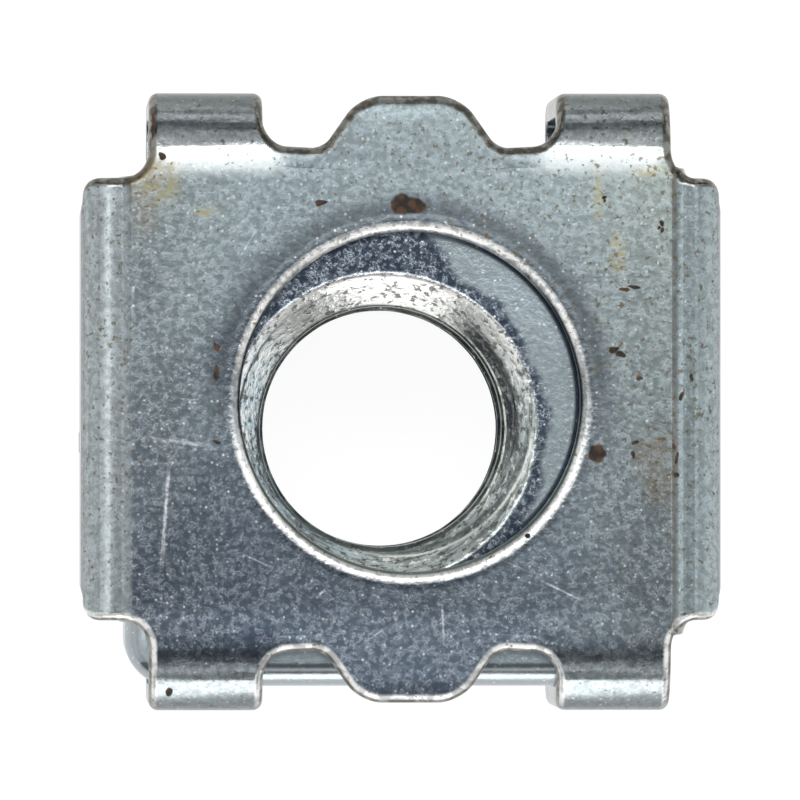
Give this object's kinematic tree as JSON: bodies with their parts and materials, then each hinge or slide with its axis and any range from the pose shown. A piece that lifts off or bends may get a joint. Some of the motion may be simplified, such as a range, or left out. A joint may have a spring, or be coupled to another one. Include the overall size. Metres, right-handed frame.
{
  "type": "cage nut",
  "caption": "Square steel nut held loosely in a folded spring cage that clips into the square hole of a rack rail; takes a machine screw from the front.",
  "frame": {"origin": "middle of the footprint, on the plane that the two ears stand on", "axes": "+Z from the ears towards the rear plate, along the screw; +X across the two wings; +Y along the wings, across the corner tabs"},
  "size_m": [0.0134, 0.013, 0.0091],
  "materials": {
    "spring_cage": "spring steel sheet, zinc plated with a bluish clear passivation, finely speckled, with rust spots and scratches",
    "square_nut": "carbon steel, zinc plated, grainy and bright in the countersink, darker on the face"
  },
  "bodies": {
    "root": {"spring_cage": "spring_cage", "square_nut": "square_nut"}
  },
  "joints": []
}
